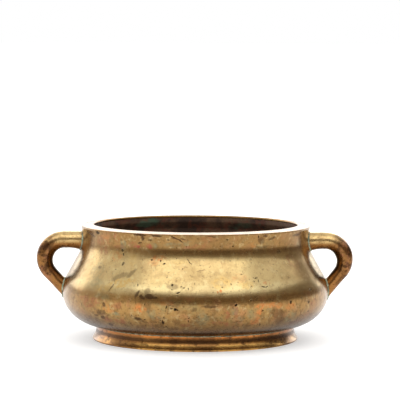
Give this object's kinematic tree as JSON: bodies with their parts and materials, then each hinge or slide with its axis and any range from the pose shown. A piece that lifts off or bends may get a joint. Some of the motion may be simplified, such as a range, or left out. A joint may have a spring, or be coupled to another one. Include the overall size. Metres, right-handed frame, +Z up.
{
  "type": "incense censer",
  "caption": "Low round bombe censer in worn yellow bronze: flat lip, waisted neck, full belly, splayed foot ring and loop handles.",
  "frame": {"origin": "centre of the circle that the foot ring stands on", "axes": "+Z up along the bowl's axis, +X towards the right handle, -Y towards the viewer"},
  "size_m": [0.2, 0.1686, 0.0729],
  "materials": {
    "bowl_bronze": "worn polish over a brown patina",
    "foot_bronze": "worn polish, redder than the bowl",
    "handle_bronze": "worn polish",
    "solder": "dull, green with corrosion"
  },
  "bodies": {
    "root": {"vessel_body": "bowl_bronze", "foot_ring": "foot_bronze", "foot_seam": "solder", "left_handle": "handle_bronze", "right_handle": "handle_bronze", "left_handle_upper_seam": "solder", "left_handle_lower_seam": "solder", "right_handle_upper_seam": "solder", "right_handle_lower_seam": "solder"}
  },
  "joints": []
}
